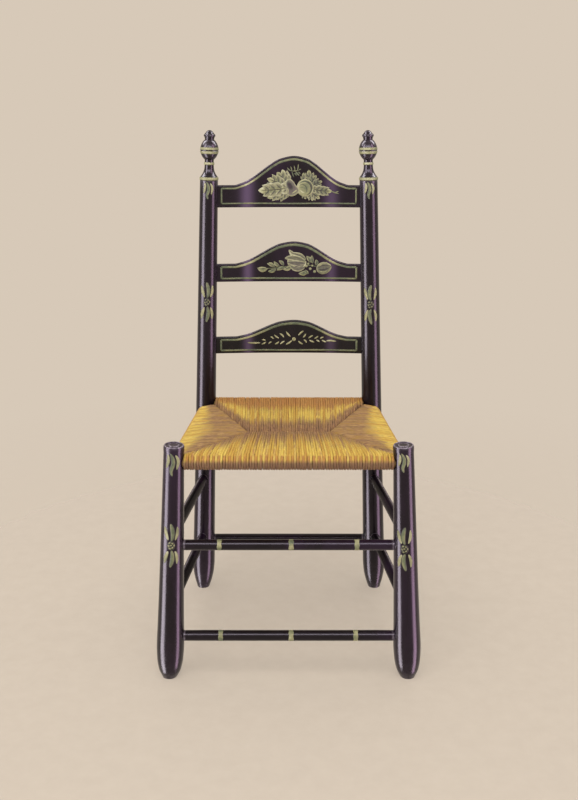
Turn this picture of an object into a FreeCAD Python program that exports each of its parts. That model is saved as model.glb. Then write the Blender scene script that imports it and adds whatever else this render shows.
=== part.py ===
import FreeCAD, Part
import math
import os

# A painted ladder-back side chair: four turned posts, three bowed slats with
# an ogee crest, round stretchers and seat rails, and a rush seat in four
# mitred sections. Millimetres, Z up. The chair faces -Y, and left and right
# are as seen from in front. The origin is on the floor under the middle.

V = FreeCAD.Vector

# Stance of the posts, measured on their centre lines
front_post_height = 466.0
back_post_height = 1015.0
front_half_width_floor = 227.9
front_half_width_top = 209.6
back_half_width_floor = 192.3
back_half_width_top = 165.6
foot_depth = 351.4
back_rake = 39.0

# Turned posts
front_post_belly_radius = 26.2
back_post_belly_radius = 24.2
lip_radius = 19.3
lip_height = 14.0
finial_radius = 19.9
finial_height = 105.0

# Stretchers, heights on the centre line of the post that each one enters
stretcher_radius = 9.9
tenon_radius = 6.5
tenon_stop = 4.0
front_upper_stretcher_height = 268.9
front_lower_stretcher_height = 83.1
rear_stretcher_height = 112.0
side_upper_height_at_front = 289.3
side_upper_height_at_back = 258.3
side_lower_height_at_front = 146.1
side_lower_height_at_back = 123.5

# Seat rails, hidden in the rush. The front rail hangs below the tops of the
# front posts, the back rail sits lower than the front one, and the side rails
# pass below them both.
rail_radius = 8.0
rail_stop = 6.0
front_rail_drop = 33.1
back_rail_drop = 10.3
side_rail_drop = 12.5

# Rush seat and the stuffing between its upper and lower layers
rush_thickness = 7.0
seam_setback = 156.7
seam_half_length = 79.3
seam_rise = 3.6
seam_thickness = 14.0
rush_crown = 1.8
stuffing_wall = 5.6
stuffing_margin = 12.0

# Slats
slat_thickness = 8.0
slat_bow = 10.0
slat_shoulder = 4.0
crest_half_width = 122.0
crest_foot_offset = 6.0
crest_offset = 11.0
top_slat_drop = 57.4
top_slat_end_width = 47.2
top_slat_rise = 61.2
middle_slat_end_width = 38.9
middle_slat_rise = 47.4
bottom_slat_end_width = 36.7
bottom_slat_rise = 35.8

# Wooden pegs that lock the top slat, driven in from behind
peg_radius = 2.6
peg_bite = 9.0
peg_head = 1.0

# Clearances and the one overrun of every cut
joint_clearance = 0.1
shoulder_clearance = 0.15
rush_clearance = 0.2
overrun = 30.0

# Straight tapers of a post from its foot to its turned head: radius as a share
# of the belly's, height as a share of that shaft's
front_shaft_outline_shares = (
    (0.553, 0.0), (0.82, 0.0368), (0.955, 0.0848), (1.0, 0.142), (0.947, 0.2544), (0.722, 1.0),
)
back_shaft_outline_shares = (
    (0.558, 0.0), (0.785, 0.0197), (0.942, 0.0417), (1.0, 0.068), (0.963, 0.154), (0.789, 1.0),
)

# Turned heads: radius as a share of the widest, height as a share of the
# head's. One point is a straight step, two are an arc's middle and its end.
# A front post has a rounded lip, a sunk ring and a broad centre disc.
lip_outline_shares = (
    ((1.0, 0.5),), ((0.995, 0.82),), ((0.935, 0.97),), ((0.86, 1.0),),
    ((0.79, 0.9),), ((0.55, 0.9),), ((0.47, 0.99),), ((0.0, 0.95),),
)
# A back post has a collar, cove, bead, ball and a thin cap with a low dome.
ball_share = (0.975, 0.6095)
finial_outline_shares = (
    ((0.925, 0.005),), ((0.98, 0.014),), ((1.0, 0.038), (0.975, 0.062),), ((0.925, 0.07),),
    ((0.6, 0.175), (0.482, 0.309)), ((0.543, 0.336), (0.487, 0.364)), ((0.487, 0.413),),
    (ball_share, (0.497, 0.806)), ((0.563, 0.866),), ((0.608, 0.881),), ((0.613, 0.9),),
    ((0.588, 0.917),), ((0.39, 0.957),), ((0.22, 0.988),), ((0.0, 1.0),),
)

# Crest of a slat: half width as a share of the crest's, height as a share of
# its rise. The crest stands a little to the right, its top more than its foot.
crest_outline_shares = (
    (1.0, 0.0), (0.9, 0.055), (0.82, 0.115), (0.7, 0.255),
    (0.54, 0.5), (0.375, 0.75), (0.245, 0.9), (0.0, 1.0),
)

# How far the stuffing reaches from the rail to the seam, as a share
stuffing_reach_share = 0.86

# Lower edges of the other slats between the back rail and the top slat
middle_slat_share = 0.6287
bottom_slat_share = 0.263


def between(low, high, share):
    return low + (high - low) * share


# The chair's depth is centred on the origin: belly in front, finial behind.
ball_radius = ball_share[0] * finial_radius
ball_height = back_post_height - (1 - ball_share[1]) * finial_height
rear_reach = foot_depth + back_rake * ball_height / back_post_height + ball_radius
front_y = -(rear_reach - front_post_belly_radius) / 2
back_y = front_y + foot_depth
rush_roll_radius = rail_radius + rush_thickness


class Post:
    # A splayed post: its axis, its straight tapers and its turned head.

    def __init__(self, side, is_front):
        self.side = side
        self.is_front = is_front
        self.height = front_post_height if is_front else back_post_height
        self.belly = front_post_belly_radius if is_front else back_post_belly_radius
        self.outline = front_shaft_outline_shares if is_front else back_shaft_outline_shares
        self.head = lip_outline_shares if is_front else finial_outline_shares
        self.head_radius = lip_radius if is_front else finial_radius
        self.head_height = lip_height if is_front else finial_height
        self.length = (self.axis(self.height) - self.axis(0)).Length
        self.shaft_length = self.length - self.head_height
        self.shaft_top = self.height * self.shaft_length / self.length
        self.mortises = []

    def axis(self, height):
        share = height / self.height
        if self.is_front:
            half_width = between(front_half_width_floor, front_half_width_top, share)
            return V(self.side * half_width, front_y, height)
        half_width = between(back_half_width_floor, back_half_width_top, share)
        return V(self.side * half_width, back_y + back_rake * share, height)

    def radius(self, height):
        share = height / self.shaft_top
        for (low_radius, low), (high_radius, high) in zip(self.outline, self.outline[1:]):
            if share <= high:
                break
        return self.belly * between(low_radius, high_radius, (share - low) / (high - low))

    def seam_angle(self):
        # Turned faces close on the outer corner, away from every mortise.
        return math.degrees(math.atan2(-1 if self.is_front else 1, self.side))

    def blank(self):
        points = [V(r * self.belly, 0, z * self.shaft_length) for r, z in self.outline]
        points.insert(0, points[0] - V(0, 0, overrun))
        edges = [Part.makeLine(a, b) for a, b in zip(points, points[1:])]
        last = points[-1]
        for step in self.head:
            stops = [V(r * self.head_radius, 0, self.shaft_length + z * self.head_height) for r, z in step]
            if len(stops) == 1:
                edges.append(Part.makeLine(last, stops[0]))
            else:
                edges.append(Part.Arc(last, stops[0], stops[1]).toShape())
            last = stops[-1]
        post = turned(edges, points[0], last)
        place_along(post, self.axis(0), self.axis(self.height), self.seam_angle())
        reach = 2 * self.belly + overrun
        corner = self.axis(0) - V(reach, reach, reach)
        return post.cut(Part.makeBox(2 * reach, 2 * reach, reach, corner))

    def sleeve(self, low, high, clearance):
        # The post's own tapers over a short stretch, to cope a neighbour to.
        bends = [z * self.shaft_top for r, z in self.outline]
        heights = [low] + [z for z in bends if low < z < high] + [high]
        rings = [V(self.radius(z) + clearance, 0, z - low) for z in heights]
        edges = [Part.makeLine(a, b) for a, b in zip(rings, rings[1:])]
        piece = turned(edges, rings[0], rings[-1])
        return place_along(piece, self.axis(low), self.axis(high), self.seam_angle())


def place_along(shape, start, end, spin=0):
    turn = FreeCAD.Rotation(V(0, 0, 1), end - start).multiply(FreeCAD.Rotation(V(0, 0, 1), spin))
    shape.Placement = FreeCAD.Placement(start, turn)
    return shape


def turned(edges, first, last):
    # Closes an outline on the axis and turns it about the axis.
    rims = [Part.makeLine(V(0, 0, first.z), first)]
    if last.x > 0:
        rims.append(Part.makeLine(last, V(0, 0, last.z)))
    rims.append(Part.makeLine(V(0, 0, last.z), V(0, 0, first.z)))
    return Part.Face(Part.Wire(rims[:1] + edges + rims[1:])).revolve(V(0, 0, 0), V(0, 0, 1), 360)


def rod(start, end, radius, stop=0):
    length = (end - start).Length
    return place_along(Part.makeCylinder(radius, length - 2 * stop, V(0, 0, stop)), start, end)


def cut_all(shape, tools):
    for tool in tools:
        shape = shape.cut(tool)
    return shape


def stretcher(first, first_height, second, second_height):
    # A round bar coped to two posts, with a tenon at each end. It also leaves
    # the mortise in both posts.
    start = first.axis(first_height)
    end = second.axis(second_height)
    reach = 2 * stretcher_radius
    sleeves = [
        first.sleeve(first_height - reach, first_height + reach, shoulder_clearance),
        second.sleeve(second_height - reach, second_height + reach, shoulder_clearance),
    ]
    bore = rod(start, end, tenon_radius + joint_clearance, tenon_stop - joint_clearance)
    first.mortises.append(bore)
    second.mortises.append(bore)
    body = cut_all(rod(start, end, stretcher_radius), sleeves)
    return body.fuse(rod(start, end, tenon_radius, tenon_stop))


def seat_rail(first, first_height, second, second_height):
    # A plain round rail that enters both posts without a shoulder.
    start = first.axis(first_height)
    end = second.axis(second_height)
    bore = rod(start, end, rail_radius + joint_clearance, rail_stop - joint_clearance)
    first.mortises.append(bore)
    second.mortises.append(bore)
    return rod(start, end, rail_radius, rail_stop)


# Slats are drawn in the upright plane of the back, which then leans back.
lean = math.atan2(back_rake, back_post_height)
lean_stretch = 1 / math.cos(lean)


def lean_back(shape):
    turn = FreeCAD.Rotation(V(1, 0, 0), -math.degrees(lean))
    shape.Placement = FreeCAD.Placement(V(0, back_y, 0), turn)
    return shape


def bowed_sheet(span, thickness, low, high):
    # A sheet whose middle surface meets both post axes and bows back between.
    radius = (span ** 2 + slat_bow ** 2) / (2 * slat_bow)
    centre = V(0, slat_bow - radius, low)
    outer = Part.makeCylinder(radius + thickness / 2, high - low, centre)
    inner = Part.makeCylinder(radius - thickness / 2, high - low, centre)
    wide = span + overrun
    window = Part.makeBox(2 * wide, 2 * overrun, high - low, V(-wide, -overrun, low))
    return window.common(outer).cut(inner)


def slat_blade(span, bottom, end_width, grow=0):
    low = bottom * lean_stretch + slat_shoulder - grow
    high = (bottom + end_width) * lean_stretch - slat_shoulder + grow
    sheet = bowed_sheet(span, slat_thickness + 2 * grow, low, high)
    reach = span - tenon_stop + grow
    window = Part.makeBox(2 * reach, 2 * overrun, high - low, V(-reach, -overrun, low))
    return lean_back(sheet.common(window))


def slat_board(span, bottom, end_width, rise):
    low = bottom * lean_stretch
    shoulder = (bottom + end_width) * lean_stretch
    outline = crest_outline_shares + tuple((-x, z) for x, z in reversed(crest_outline_shares[:-1]))
    crest = []
    for x, z in outline:
        offset = between(crest_foot_offset, crest_offset, z)
        crest.append(V(x * crest_half_width + offset, -overrun, shoulder + z * rise))
    curve = Part.BSplineCurve()
    curve.interpolate(crest)
    corners = [
        crest[-1], V(-span, -overrun, shoulder), V(-span, -overrun, low),
        V(span, -overrun, low), V(span, -overrun, shoulder), crest[0],
    ]
    sides = [Part.makeLine(a, b) for a, b in zip(corners, corners[1:])]
    board = Part.Face(Part.Wire([curve.toShape()] + sides)).extrude(V(0, 2 * overrun, 0))
    return lean_back(board.common(bowed_sheet(span, slat_thickness, low, shoulder + rise + overrun)))


def slat(posts, bottom, end_width, rise):
    span = posts[1].axis(bottom + end_width / 2).x
    board = slat_board(span, bottom, end_width, rise)
    slot = slat_blade(span, bottom, end_width, joint_clearance)
    for post in posts:
        top = bottom + end_width + slat_shoulder
        board = board.cut(post.sleeve(bottom - slat_shoulder, top, shoulder_clearance))
        post.mortises.append(slot)
    return board.fuse(slat_blade(span, bottom, end_width)).removeSplitter()


def slat_peg(post, grow=0):
    # From in front of the top slat's tenon to just proud of the post's back.
    height = top_slat_height + top_slat_end_width / 2
    radius = post.radius(height)
    x = post.side * (abs(post.axis(height).x) - radius / 2)
    back_face = math.sqrt(radius ** 2 - (radius / 2) ** 2)
    start = V(x, -peg_bite - grow, height * lean_stretch)
    length = peg_bite + back_face + peg_head
    return lean_back(Part.makeCylinder(peg_radius + grow, length, start, V(0, 1, 0)))


class Rush:
    # One woven section: it wraps its rail and runs to its end of the seam.

    def __init__(self, rail, outline, seam_end):
        self.start, self.end = rail
        self.outline = outline
        run = self.end - self.start
        self.inward = V(-run.y, run.x, 0).normalize()
        self.upward = run.cross(self.inward).normalize()
        to_seam = V(seam_end[0], seam_end[1], self.start.z) - self.start
        if self.inward.dot(to_seam) < 0:
            self.inward = self.inward * -1
        self.reach = self.inward.dot(to_seam)
        rail_height = between(self.start.z, self.end.z, to_seam.dot(run) / run.dot(run))
        self.top = (seam_top_height - rail_height) / self.upward.z
        self.bottom = self.top - seam_thickness

    def at(self, across, up):
        return self.start + self.inward * across + self.upward * up

    def prism(self, inset=0):
        low = self.start.z - overrun - rush_roll_radius
        points = [V(x, y, low) for x, y in self.outline]
        face = Part.Face(Part.makePolygon(points + points[:1]))
        if inset:
            face = face.makeOffset2D(-inset, 2)
        return face.extrude(V(0, 0, 2 * (overrun + rush_roll_radius)))

    def blank(self):
        roll = rush_roll_radius
        middle = self.reach / 2
        upper = self.at(middle, (roll + self.top) / 2 + rush_crown)
        lower = self.at(middle, (self.bottom - roll) / 2 - rush_crown)
        edges = [
            Part.Arc(self.at(0, -roll), self.at(-roll, 0), self.at(0, roll)).toShape(),
            Part.Arc(self.at(0, roll), upper, self.at(self.reach, self.top)).toShape(),
            Part.makeLine(self.at(self.reach, self.top), self.at(self.reach, self.bottom)),
            Part.Arc(self.at(self.reach, self.bottom), lower, self.at(0, -roll)).toShape(),
        ]
        section = Part.Face(Part.Wire(edges)).extrude(self.end - self.start)
        return section.common(self.prism())

    def stuffing(self, clearance=0):
        # A wedge of packing in the pocket between the woven layers.
        wall = stuffing_wall - clearance
        near = rush_roll_radius + wall
        far = self.reach * stuffing_reach_share - wall
        corners = []
        for across in (near, far):
            share = across / self.reach
            low = between(-rush_roll_radius, self.bottom, share) + wall
            high = between(rush_roll_radius, self.top, share) - wall
            corners += [(across, low), (across, high)]
        ring = [self.at(*corners[i]) for i in (0, 1, 3, 2)]
        pad = Part.Face(Part.makePolygon(ring + ring[:1])).extrude(self.end - self.start)
        return pad.common(self.prism(stuffing_margin - clearance))


parts = {}
front_posts = [Post(-1, True), Post(1, True)]
back_posts = [Post(-1, False), Post(1, False)]
side_names = ("left", "right")

# Heights that follow from the posts
front_rail_height = front_post_height - front_rail_drop
back_rail_height = front_rail_height - back_rail_drop
side_rail_height_at_front = front_rail_height - side_rail_drop
side_rail_height_at_back = back_rail_height - side_rail_drop
seam_top_height = front_rail_height + seam_rise
top_slat_height = back_posts[0].shaft_top - top_slat_drop
middle_slat_height = between(back_rail_height, top_slat_height, middle_slat_share)
bottom_slat_height = between(back_rail_height, top_slat_height, bottom_slat_share)


def cross_members(make, posts, heights):
    for name, height in heights.items():
        parts[name] = make(posts[0], height, posts[1], height)


def side_members(make, name, height_at_front, height_at_back):
    for side, front, back in zip(side_names, front_posts, back_posts):
        parts[side + name] = make(front, height_at_front, back, height_at_back)


cross_members(stretcher, front_posts, {
    "front_upper_stretcher": front_upper_stretcher_height,
    "front_lower_stretcher": front_lower_stretcher_height,
})
cross_members(stretcher, back_posts, {"rear_stretcher": rear_stretcher_height})
side_members(stretcher, "_upper_side_stretcher", side_upper_height_at_front, side_upper_height_at_back)
side_members(stretcher, "_lower_side_stretcher", side_lower_height_at_front, side_lower_height_at_back)
cross_members(seat_rail, front_posts, {"front_seat_rail": front_rail_height})
cross_members(seat_rail, back_posts, {"back_seat_rail": back_rail_height})
side_members(seat_rail, "_seat_rail", side_rail_height_at_front, side_rail_height_at_back)

parts["top_slat"] = slat(back_posts, top_slat_height, top_slat_end_width, top_slat_rise)
parts["middle_slat"] = slat(back_posts, middle_slat_height, middle_slat_end_width, middle_slat_rise)
parts["bottom_slat"] = slat(back_posts, bottom_slat_height, bottom_slat_end_width, bottom_slat_rise)
for side, post in zip(side_names, back_posts):
    parts[side + "_slat_peg"] = slat_peg(post)
    hole = slat_peg(post, joint_clearance)
    post.mortises.append(hole)
    parts["top_slat"] = parts["top_slat"].cut(hole)

for side, front, back in zip(side_names, front_posts, back_posts):
    parts[side + "_front_post"] = cut_all(front.blank(), front.mortises)
    parts[side + "_back_post"] = cut_all(back.blank(), back.mortises)

# Rush seat, drawn in plan: each section lies between its rail and the seam,
# and its mitres run from the posts to the seam's ends.
front_corner = front_posts[1].axis(front_rail_height)
back_corner = back_posts[1].axis(back_rail_height)
seam_y = front_y + seam_setback
outside = rush_roll_radius + overrun


def plan_points(side):
    front = (side * front_corner.x, front_corner.y)
    back = (side * back_corner.x, back_corner.y)
    seam = (side * seam_half_length, seam_y)
    return front, back, seam


def rail_line(first, first_height, second, second_height):
    return first.axis(first_height), second.axis(second_height)


rails = {
    "front": rail_line(front_posts[0], front_rail_height, front_posts[1], front_rail_height),
    "back": rail_line(back_posts[0], back_rail_height, back_posts[1], back_rail_height),
}
front_left, back_left, seam_left = plan_points(-1)
front_right, back_right, seam_right = plan_points(1)
sections = {
    "front": Rush(rails["front"], [
        front_left, (front_left[0], front_left[1] - outside), (front_right[0], front_right[1] - outside),
        front_right, seam_right, seam_left,
    ], seam_left),
    "back": Rush(rails["back"], [
        back_left, (back_left[0], back_left[1] + outside), (back_right[0], back_right[1] + outside),
        back_right, seam_right, seam_left,
    ], seam_left),
}
for side, front, back in zip(side_names, front_posts, back_posts):
    front_plan, back_plan, seam_plan = plan_points(front.side)
    rails[side] = rail_line(front, side_rail_height_at_front, back, side_rail_height_at_back)
    sections[side] = Rush(rails[side], [
        front_plan, (front_plan[0] + front.side * outside, front_plan[1]),
        (back_plan[0] + back.side * outside, back_plan[1]), back_plan, seam_plan,
    ], seam_plan)

rail_bores = [rod(start, end, rail_radius + rush_clearance) for start, end in rails.values()]
lowest = side_rail_height_at_back - 2 * rush_roll_radius
highest = front_rail_height + 2 * rush_roll_radius
sleeves = [post.sleeve(lowest, highest, rush_clearance) for post in front_posts + back_posts]
for name, section in sections.items():
    woven = cut_all(section.blank(), sleeves + rail_bores)
    parts[name + "_rush_section"] = woven.cut(section.stuffing(rush_clearance))
    parts[name + "_stuffing"] = section.stuffing()

os.makedirs("parts", exist_ok=True)
for name, shape in parts.items():
    shape.exportStep("parts/" + name + ".step")
    print(name, "valid" if shape.isValid() else "INVALID", len(shape.Solids), "solid",
          len(shape.Faces), "faces", round(shape.Volume), "mm3")
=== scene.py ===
import random
from math import atan2, copysign, cos, pi, radians, sin, tau

import bpy
import numpy as np
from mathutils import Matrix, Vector


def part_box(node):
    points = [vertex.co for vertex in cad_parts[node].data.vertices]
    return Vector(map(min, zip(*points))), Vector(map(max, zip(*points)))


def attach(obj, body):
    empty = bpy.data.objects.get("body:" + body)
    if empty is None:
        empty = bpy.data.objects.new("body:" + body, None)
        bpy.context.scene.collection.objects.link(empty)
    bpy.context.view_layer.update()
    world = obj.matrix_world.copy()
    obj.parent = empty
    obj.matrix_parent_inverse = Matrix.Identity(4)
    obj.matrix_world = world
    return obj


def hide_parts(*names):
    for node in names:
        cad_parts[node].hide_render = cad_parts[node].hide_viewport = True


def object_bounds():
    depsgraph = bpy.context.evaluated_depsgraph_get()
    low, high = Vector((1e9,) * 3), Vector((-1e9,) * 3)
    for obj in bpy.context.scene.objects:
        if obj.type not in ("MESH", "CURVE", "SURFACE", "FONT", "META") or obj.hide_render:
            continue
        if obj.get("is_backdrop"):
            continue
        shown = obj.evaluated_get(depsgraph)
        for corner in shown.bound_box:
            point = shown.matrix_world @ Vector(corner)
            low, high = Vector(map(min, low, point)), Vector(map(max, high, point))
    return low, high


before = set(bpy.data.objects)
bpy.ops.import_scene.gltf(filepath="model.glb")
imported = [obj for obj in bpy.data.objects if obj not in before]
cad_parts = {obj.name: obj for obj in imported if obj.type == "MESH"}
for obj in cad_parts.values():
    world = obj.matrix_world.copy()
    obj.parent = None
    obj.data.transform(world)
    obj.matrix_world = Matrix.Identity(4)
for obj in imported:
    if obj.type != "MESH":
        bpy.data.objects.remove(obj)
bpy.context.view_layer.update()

# Sizes in this script are millimetres in the frame's own axes, and MM turns
# them to metres. They repeat the chair's source.
MM = 0.001
FRONT_Y = -191.01
BACK_Y = 160.39
POST_SIZES = {
    "front": dict(height=466.0, floor=227.9, top=209.6, y=FRONT_Y, rake=0.0, belly=26.2, head=14.0),
    "back": dict(height=1015.0, floor=192.3, top=165.6, y=BACK_Y, rake=39.0, belly=24.2, head=105.0),
}
# Shafts as (share of the belly's radius, share of the shaft's height)
SHAFTS = {
    "front": ((0.553, 0), (0.82, 0.0368), (0.955, 0.0848), (1, 0.142), (0.947, 0.2544), (0.722, 1)),
    "back": ((0.558, 0), (0.785, 0.0197), (0.942, 0.0417), (1, 0.068), (0.963, 0.154), (0.789, 1)),
}
# Turned heads as smooth runs of (radius, height above the shaft). A run starts
# where the one before it ends, with a corner there.
HEADS = {
    "front": (
        ((18.92, 0),),
        ((19.2, 3.5), (19.3, 7), (19.2, 10.4), (18.8, 12.3), (18, 13.5), (16.8, 14)),
        ((15.9, 13.8), (15.2, 12.9), (14.2, 12.6)),
        ((11, 12.6),),
        ((10.3, 12.9), (9.7, 13.6), (8.8, 13.9), (7.4, 13.6)),
        ((4, 13.3), (0.3, 13.3)),
    ),
    "back": (
        ((19.09, 0),),
        ((18.5, 0.5),),
        ((19.5, 1.4), (19.9, 3.9), (19.5, 6.4), (18.5, 7.3)),
        ((17.1, 9.4), (14.2, 13.6), (11.9, 18.4), (10.3, 24.2), (9.6, 32.4)),
        ((10.5, 33.5), (10.8, 35.3), (10.5, 37.1), (9.7, 38.2)),
        ((9.5, 40.8), (9.7, 43.4)),
        ((14.2, 48.4), (17.5, 54.6), (19.1, 59.6), (19.35, 61.5)),
        ((18.6, 62.6), (19.38, 63.7)),
        ((19.2, 67), (18, 72.6), (15.5, 78.4), (12.6, 82.6), (9.9, 85)),
        ((9.9, 87.4), (10.9, 90.8)),
        ((12, 92.1), (12.3, 93.6), (12.1, 95.2), (11.5, 96.2)),
        ((9.8, 97.6), (8.3, 99.5), (6.9, 101.6), (4.8, 103.5), (2.4, 104.7), (0.3, 105)),
    ),
}

# How high the stretchers' axes meet the posts, the side ones' at front and back.
# Their ends stop BAR_BURY inside a post's skin, and are finely divided for BAR_END.
FRONT_STRETCHERS = {"upper": 268.9, "lower": 83.1}
SIDE_STRETCHERS = {"upper": (289.3, 258.3), "lower": (146.1, 123.5)}
REAR_STRETCHER = 112.0
BAR_RADIUS = 9.9
BAR_BURY = 11.0
BAR_END = 22.0

# The front and back rails' height, how much lower the side ones lie, and how
# far inside a post's axis a mitre starts
RAIL_Z = {"front": 432.9, "back": 422.6}
SIDE_RAIL_DROP = 12.5
MITRE_IN = {"front": 18.6, "back": 21.5}
SEAM_Y = FRONT_Y + 156.7
SEAM_HALF = 79.3
SEAM_TOP = 436.5
SEAM_THICK = 14.0
ROLL = 15.0
STRAND_HIGH = 2.8

SLAT_THICK = 8.0
SLAT_BOW = 10.0
SLAT_SHORT = 9.0
SLAT_CORNER = 2.2
BACK_SPLAY = 26.7
CREST_HALF = 122.0
CREST_OFFSETS = (6.0, 11.0)
CREST = (
    (1, 0), (0.9, 0.055), (0.82, 0.115), (0.7, 0.255), (0.54, 0.5), (0.375, 0.75), (0.245, 0.9), (0, 1),
)
SLATS = {
    "top_slat": dict(bottom=852.7, end=47.2, rise=61.2),
    "middle_slat": dict(bottom=693.04, end=38.9, rise=47.4),
    "bottom_slat": dict(bottom=535.71, end=36.7, rise=35.8),
}

# How far stencils lie off the surface, and how much further each layer of them
PAINT_LIFT = 0.1
LAYER_LIFT = 0.025

RIGHT = np.array((1.0, 0.0, 0.0))
UP = np.array((0.0, 0.0, 1.0))
FLAT = np.array((1.0, 1.0, 0.0))


def srgb(r, g, b):
    """A colour given as it looks, 0 to 255, as the linear values a socket takes."""
    c = [v / 255 for v in (r, g, b)]
    return tuple(v / 12.92 if v <= 0.04045 else ((v + 0.055) / 1.055) ** 2.4 for v in c) + (1.0,)


def lerp(a, b, t):
    return a + (b - a) * t


def ramp_up(low, high, v):
    """0 below low, 1 above high, and even between them."""
    return np.clip((np.asarray(v, float) - low) / (high - low), 0.0, 1.0)


def bell(v, middle, width):
    """1 at the middle, and smoothly to 0 on both sides."""
    return np.exp(-(((v - middle) / width) ** 2))


def unit(v):
    v = np.asarray(v, float)
    return v / np.linalg.norm(v)


def unit_rows(v):
    return v / np.linalg.norm(v, axis=1)[:, None]


def run_lengths(points):
    """How far along a line its points lie."""
    return np.concatenate([[0.0], np.cumsum(np.linalg.norm(np.diff(points, axis=0), axis=1))])


def circle(count):
    return np.linspace(0, tau, count, endpoint=False)


def wheel(angles, a, b):
    """Directions at these angles, from a towards b."""
    return np.cos(angles)[:, None] * a + np.sin(angles)[:, None] * b


def smooth_run(points, steps):
    """Points along a smooth curve through the given ones."""
    p = np.array(points, float)
    p = np.vstack([2 * p[0] - p[1], p, 2 * p[-1] - p[-2]])
    t = np.arange(steps)[:, None] / steps
    out = [0.5 * (2 * b + (c - a) * t + (2 * a - 5 * b + 4 * c - d) * t * t
                  + (3 * b - a - 3 * c + d) * t ** 3)
           for a, b, c, d in zip(p, p[1:], p[2:], p[3:])]
    return np.concatenate(out + [p[-2:-1]])


def even_curve(xs, ys, at):
    """A smooth curve through the points that never overshoots between them."""
    xs, ys, at = (np.asarray(v, float) for v in (xs, ys, at))
    h = np.diff(xs)
    d = np.diff(ys) / h
    m = np.zeros(len(xs))
    m[0], m[-1] = d[0], d[-1]
    for i in range(1, len(xs) - 1):
        if d[i - 1] * d[i] > 0:
            w1, w2 = 2 * h[i] + h[i - 1], h[i] + 2 * h[i - 1]
            m[i] = (w1 + w2) / (w1 / d[i - 1] + w2 / d[i])
    k = np.clip(np.searchsorted(xs, at) - 1, 0, len(h) - 1)
    t = (at - xs[k]) / h[k]
    t2, t3 = t * t, t * t * t
    return ((2 * t3 - 3 * t2 + 1) * ys[k] + (t3 - 2 * t2 + t) * h[k] * m[k]
            + (3 * t2 - 2 * t3) * ys[k + 1] + (t3 - t2) * h[k] * m[k + 1])


def loft_faces(rows, cols, around=True, start=0, caps=False):
    """Quads between rows of cols points, closed round each row if around."""
    i, j = np.mgrid[:rows - 1, :cols if around else cols - 1]
    a, b = start + i * cols + j, start + i * cols + (j + 1) % cols
    faces = np.stack([a, b, b + cols, a + cols], -1).reshape(-1, 4).tolist()
    if caps:
        ring = range(start, start + cols)
        faces += [ring[::-1], [v + (rows - 1) * cols for v in ring]]
    return faces


def add_object(name, data):
    piece = bpy.data.objects.new(name, data)
    bpy.context.scene.collection.objects.link(piece)
    return piece


def add_piece(name, verts, faces, material, slot=None, replaces=(), sharp=40, **values):
    """A piece that rides on the chair, from lists of arrays: its points and their values."""
    mesh = bpy.data.meshes.new(name)
    mesh.from_pydata((np.concatenate(verts) * MM).tolist(), [], faces)
    for key, data in values.items():
        data = np.concatenate(data).astype(np.float32)
        kind, field = ("FLOAT", "value") if data.ndim == 1 else ("FLOAT_VECTOR", "vector")
        mesh.attributes.new(key, kind, "POINT").data.foreach_set(field, data.ravel())
    mesh.materials.append(material)
    mesh.validate()
    mesh.shade_smooth()
    if sharp:
        mesh.set_sharp_from_angle(angle=radians(sharp))
    piece = add_object(name, mesh)
    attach(piece, "root")
    if replaces:
        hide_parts(*replaces)
    return piece


# ---- materials

def add_node(tree, kind, inputs={}, **settings):
    """A shader node, its inputs linked to sockets or set to values."""
    node = tree.nodes.new("ShaderNode" + kind)
    for key, value in settings.items():
        setattr(node, key, value)
    for key, value in inputs.items():
        if isinstance(value, bpy.types.NodeSocket):
            tree.links.new(value, node.inputs[key])
        else:
            node.inputs[key].default_value = value
    return node


class Nodes:
    """Builds a material's nodes. Colours are triples from 0 to 255."""

    def __init__(self, name):
        self.material = bpy.data.materials.new(name)
        self.material.use_nodes = True
        self.tree = self.material.node_tree
        self.tree.nodes.clear()
        self.coords = self.add("TexCoord", {}, "Object")

    def add(self, kind, inputs, output=0, **settings):
        return add_node(self.tree, kind, inputs, **settings).outputs[output]

    def stretched(self, scale, source=None):
        return self.add("Mapping", {"Vector": source or self.coords, "Scale": scale})

    def noise(self, scale, detail, rough, vector=None, distortion=0):
        return self.add("TexNoise", {"Vector": vector or self.coords, "Scale": scale,
                                     "Detail": detail, "Roughness": rough, "Distortion": distortion})

    def ramp(self, fac, *stops):
        node = add_node(self.tree, "ValToRGB", {"Fac": fac})
        elements = node.color_ramp.elements
        while len(elements) < len(stops):
            elements.new(0.5)
        for element, (at, colour) in zip(elements, stops):
            element.position = at
            element.color = srgb(*colour)
        return node.outputs["Color"]

    def grey(self, fac, low, high, start=0.3, end=0.7):
        """From low to high while fac goes from start to end."""
        return self.add("MapRange", {0: fac, 1: start, 2: end, 3: low, 4: high})

    def math(self, operation, a, b):
        return self.add("Math", {0: a, 1: b}, operation=operation)

    def plus(self, a, b):
        return self.math("ADD", a, b)

    def times(self, a, b):
        return self.math("MULTIPLY", a, b)

    def mix(self, fac, a, b, blend="MIX"):
        a, b = (v if isinstance(v, bpy.types.NodeSocket) else srgb(*v) for v in (a, b))
        return self.add("Mix", {0: fac, 6: a, 7: b}, 2, data_type="RGBA", blend_type=blend)

    def shaded(self, colour, shade):
        """The colour times a grey."""
        grey = self.add("CombineColor", {0: shade, 1: shade, 2: shade})
        return self.mix(1, colour, grey, "MULTIPLY")

    def attribute(self, name, output="Fac"):
        return self.add("Attribute", {}, output, attribute_name=name)

    def bump(self, height, strength, distance):
        return self.add("Bump", {"Height": height, "Strength": strength, "Distance": distance})

    def finish(self, shader):
        add_node(self.tree, "OutputMaterial", {"Surface": shader})
        return self.material

    def surface(self, **inputs):
        inputs = {key.replace("_", " "): value for key, value in inputs.items()}
        return self.finish(self.add("BsdfPrincipled", inputs))


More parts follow.
